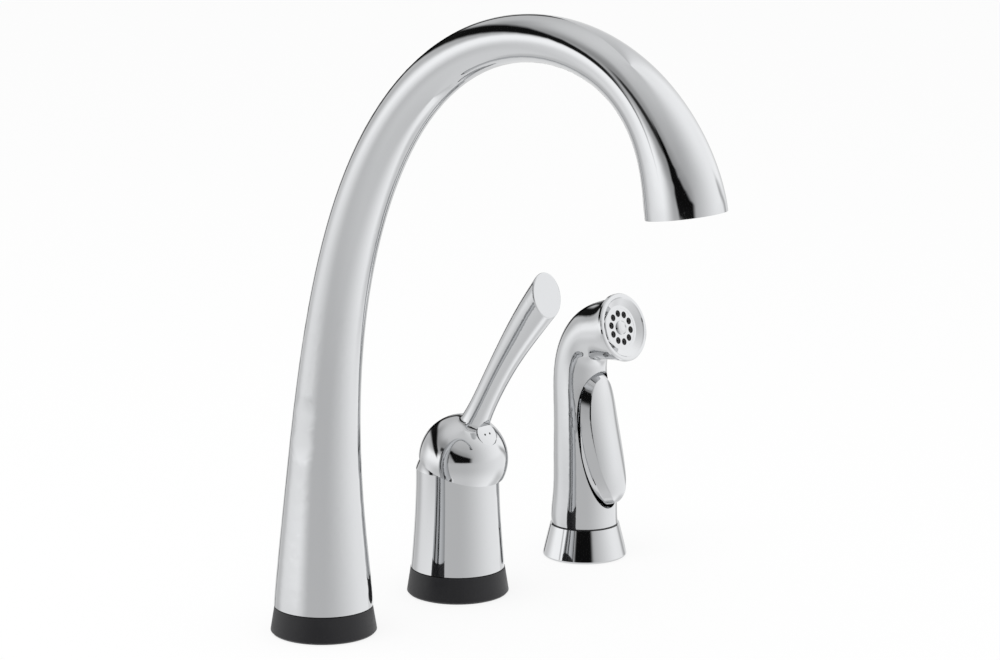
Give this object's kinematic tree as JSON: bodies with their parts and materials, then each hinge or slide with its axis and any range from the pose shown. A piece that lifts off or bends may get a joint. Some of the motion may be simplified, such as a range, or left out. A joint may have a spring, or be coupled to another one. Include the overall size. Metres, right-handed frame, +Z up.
{
  "type": "kitchen tap set",
  "caption": "Deck-mounted kitchen tap set: tall swivelling gooseneck spout, ball-hooded lever valve and pull-out side spray with thumb trigger",
  "frame": {"origin": "centre of the spout's foot, on the worktop's top face", "axes": "+Z up, +X along the row of deck holes from the spout to the valve and the spray, -Y towards the user"},
  "size_m": [0.2547, 0.3006, 0.4316],
  "materials": {
    "chrome_plate": "bright polished chrome plate",
    "black_ring": "satin charcoal plastic",
    "rubber_seal": "soft black rubber",
    "cast_brass": "machined bare brass",
    "spring_steel": "plain stainless steel",
    "copper_tube": "drawn copper tube",
    "cartridge_plastic": "moulded white acetal",
    "dark_plastic": "moulded dark plastic",
    "ceramic_disc": "lapped white alumina ceramic"
  },
  "bodies": {
    "deck_assembly": {"spout_base_ring": "black_ring", "spout_gasket": "rubber_seal", "spout_post": "cast_brass", "spout_seals": "rubber_seal", "retaining_clip": "spring_steel", "glide_ring": "cartridge_plastic", "spout_deck_washer": "spring_steel", "spout_deck_nut": "cast_brass", "diverter_seat": "cast_brass", "diverter_spring": "spring_steel", "valve_base_ring": "black_ring", "valve_gasket": "rubber_seal", "valve_core": "cast_brass", "valve_body_shell": "chrome_plate", "bonnet_dome": "chrome_plate", "bonnet_nut": "cast_brass", "cartridge_housing": "cartridge_plastic", "cartridge_seals": "rubber_seal", "fixed_disc": "ceramic_disc", "valve_deck_washer": "spring_steel", "valve_deck_nut": "cast_brass", "spray_holder": "chrome_plate", "holder_liner": "dark_plastic", "holder_gasket": "rubber_seal", "holder_deck_washer": "spring_steel", "holder_deck_nut": "cast_brass"},
    "spout": {"spout_shell": "chrome_plate", "spout_sleeve": "cast_brass", "spout_waterway": "copper_tube", "outlet_adapter": "chrome_plate", "aerator_housing": "dark_plastic", "aerator_screen": "cartridge_plastic", "aerator_washer": "rubber_seal"},
    "diverter": {"diverter_poppet": "cartridge_plastic"},
    "rotor": {"cartridge_rotor": "cartridge_plastic", "pivot_pin": "spring_steel"},
    "disc": {"moving_disc": "ceramic_disc"},
    "handle": {"lever_handle": "chrome_plate", "valve_stem": "spring_steel", "set_screw": "spring_steel", "index_button": "chrome_plate"},
    "hose_end": {"hose_coupling": "cast_brass", "coupling_clip": "spring_steel"},
    "wand": {"wand_body": "chrome_plate", "wand_bezel": "chrome_plate", "spray_plate": "chrome_plate", "nozzle_insert": "rubber_seal", "centre_cap": "chrome_plate", "head_seal": "rubber_seal", "spigot_seal": "rubber_seal", "trigger_pin": "spring_steel", "valve_gland": "cast_brass", "plunger_seal": "rubber_seal", "valve_seat": "cast_brass", "trigger_spring": "spring_steel"},
    "trigger": {"trigger_paddle": "chrome_plate"},
    "plunger": {"valve_plunger": "spring_steel", "plunger_washer": "rubber_seal"}
  },
  "joints": [
    {"name": "spout_swivel", "type": "hinge", "parent": "deck_assembly", "child": "spout", "pos_m": [0, 0, 0.015], "axis": [0, 0, 1], "range_deg": [-60, 60]},
    {"name": "diverter_slide", "type": "slide", "parent": "deck_assembly", "child": "diverter", "axis": [0, 0, 1], "range_m": [0, 0.004], "stiffness_N_per_m": 50, "springref_m": -0.004, "deforming": ["diverter_spring"]},
    {"name": "handle_temperature", "type": "hinge", "parent": "deck_assembly", "child": "rotor", "pos_m": [0.1016, 0, 0.0628], "axis": [0, 0, 1], "range_deg": [-45, 45]},
    {"name": "handle_lift", "type": "hinge", "parent": "rotor", "child": "handle", "pos_m": [0.1016, 0, 0.0628], "axis": [-1, 0, 0], "range_deg": [0, 26]},
    {"name": "disc_slide", "type": "slide", "parent": "rotor", "child": "disc", "axis": [0, -1, 0], "range_m": [0, 0.00408]},
    {"name": "spray_lift", "type": "slide", "parent": "deck_assembly", "child": "hose_end", "axis": [0, 0, 1], "range_m": [0, 0.25]},
    {"name": "spray_turn", "type": "hinge", "parent": "hose_end", "child": "wand", "pos_m": [0.2032, 0, 0.01], "axis": [0, 0, 1], "continuous": true},
    {"name": "trigger_press", "type": "hinge", "parent": "wand", "child": "trigger", "pos_m": [0.20363, -0.00699, 0.098], "axis": [0.9981, 0.061, 0], "range_deg": [0, 5], "stiffness_Nm_per_rad": 2, "springref_deg": -2.29, "deforming": ["trigger_spring"]},
    {"name": "plunger_slide", "type": "slide", "parent": "wand", "child": "plunger", "axis": [-0.061, 0.9981, 0], "range_m": [0, 0.00316]}
  ],
  "couplings": [
    {"joint": "disc_slide", "follows": "handle_lift", "m_per_rad": 0.0088741},
    {"joint": "plunger_slide", "follows": "trigger_press", "m_per_rad": 0.036}
  ]
}
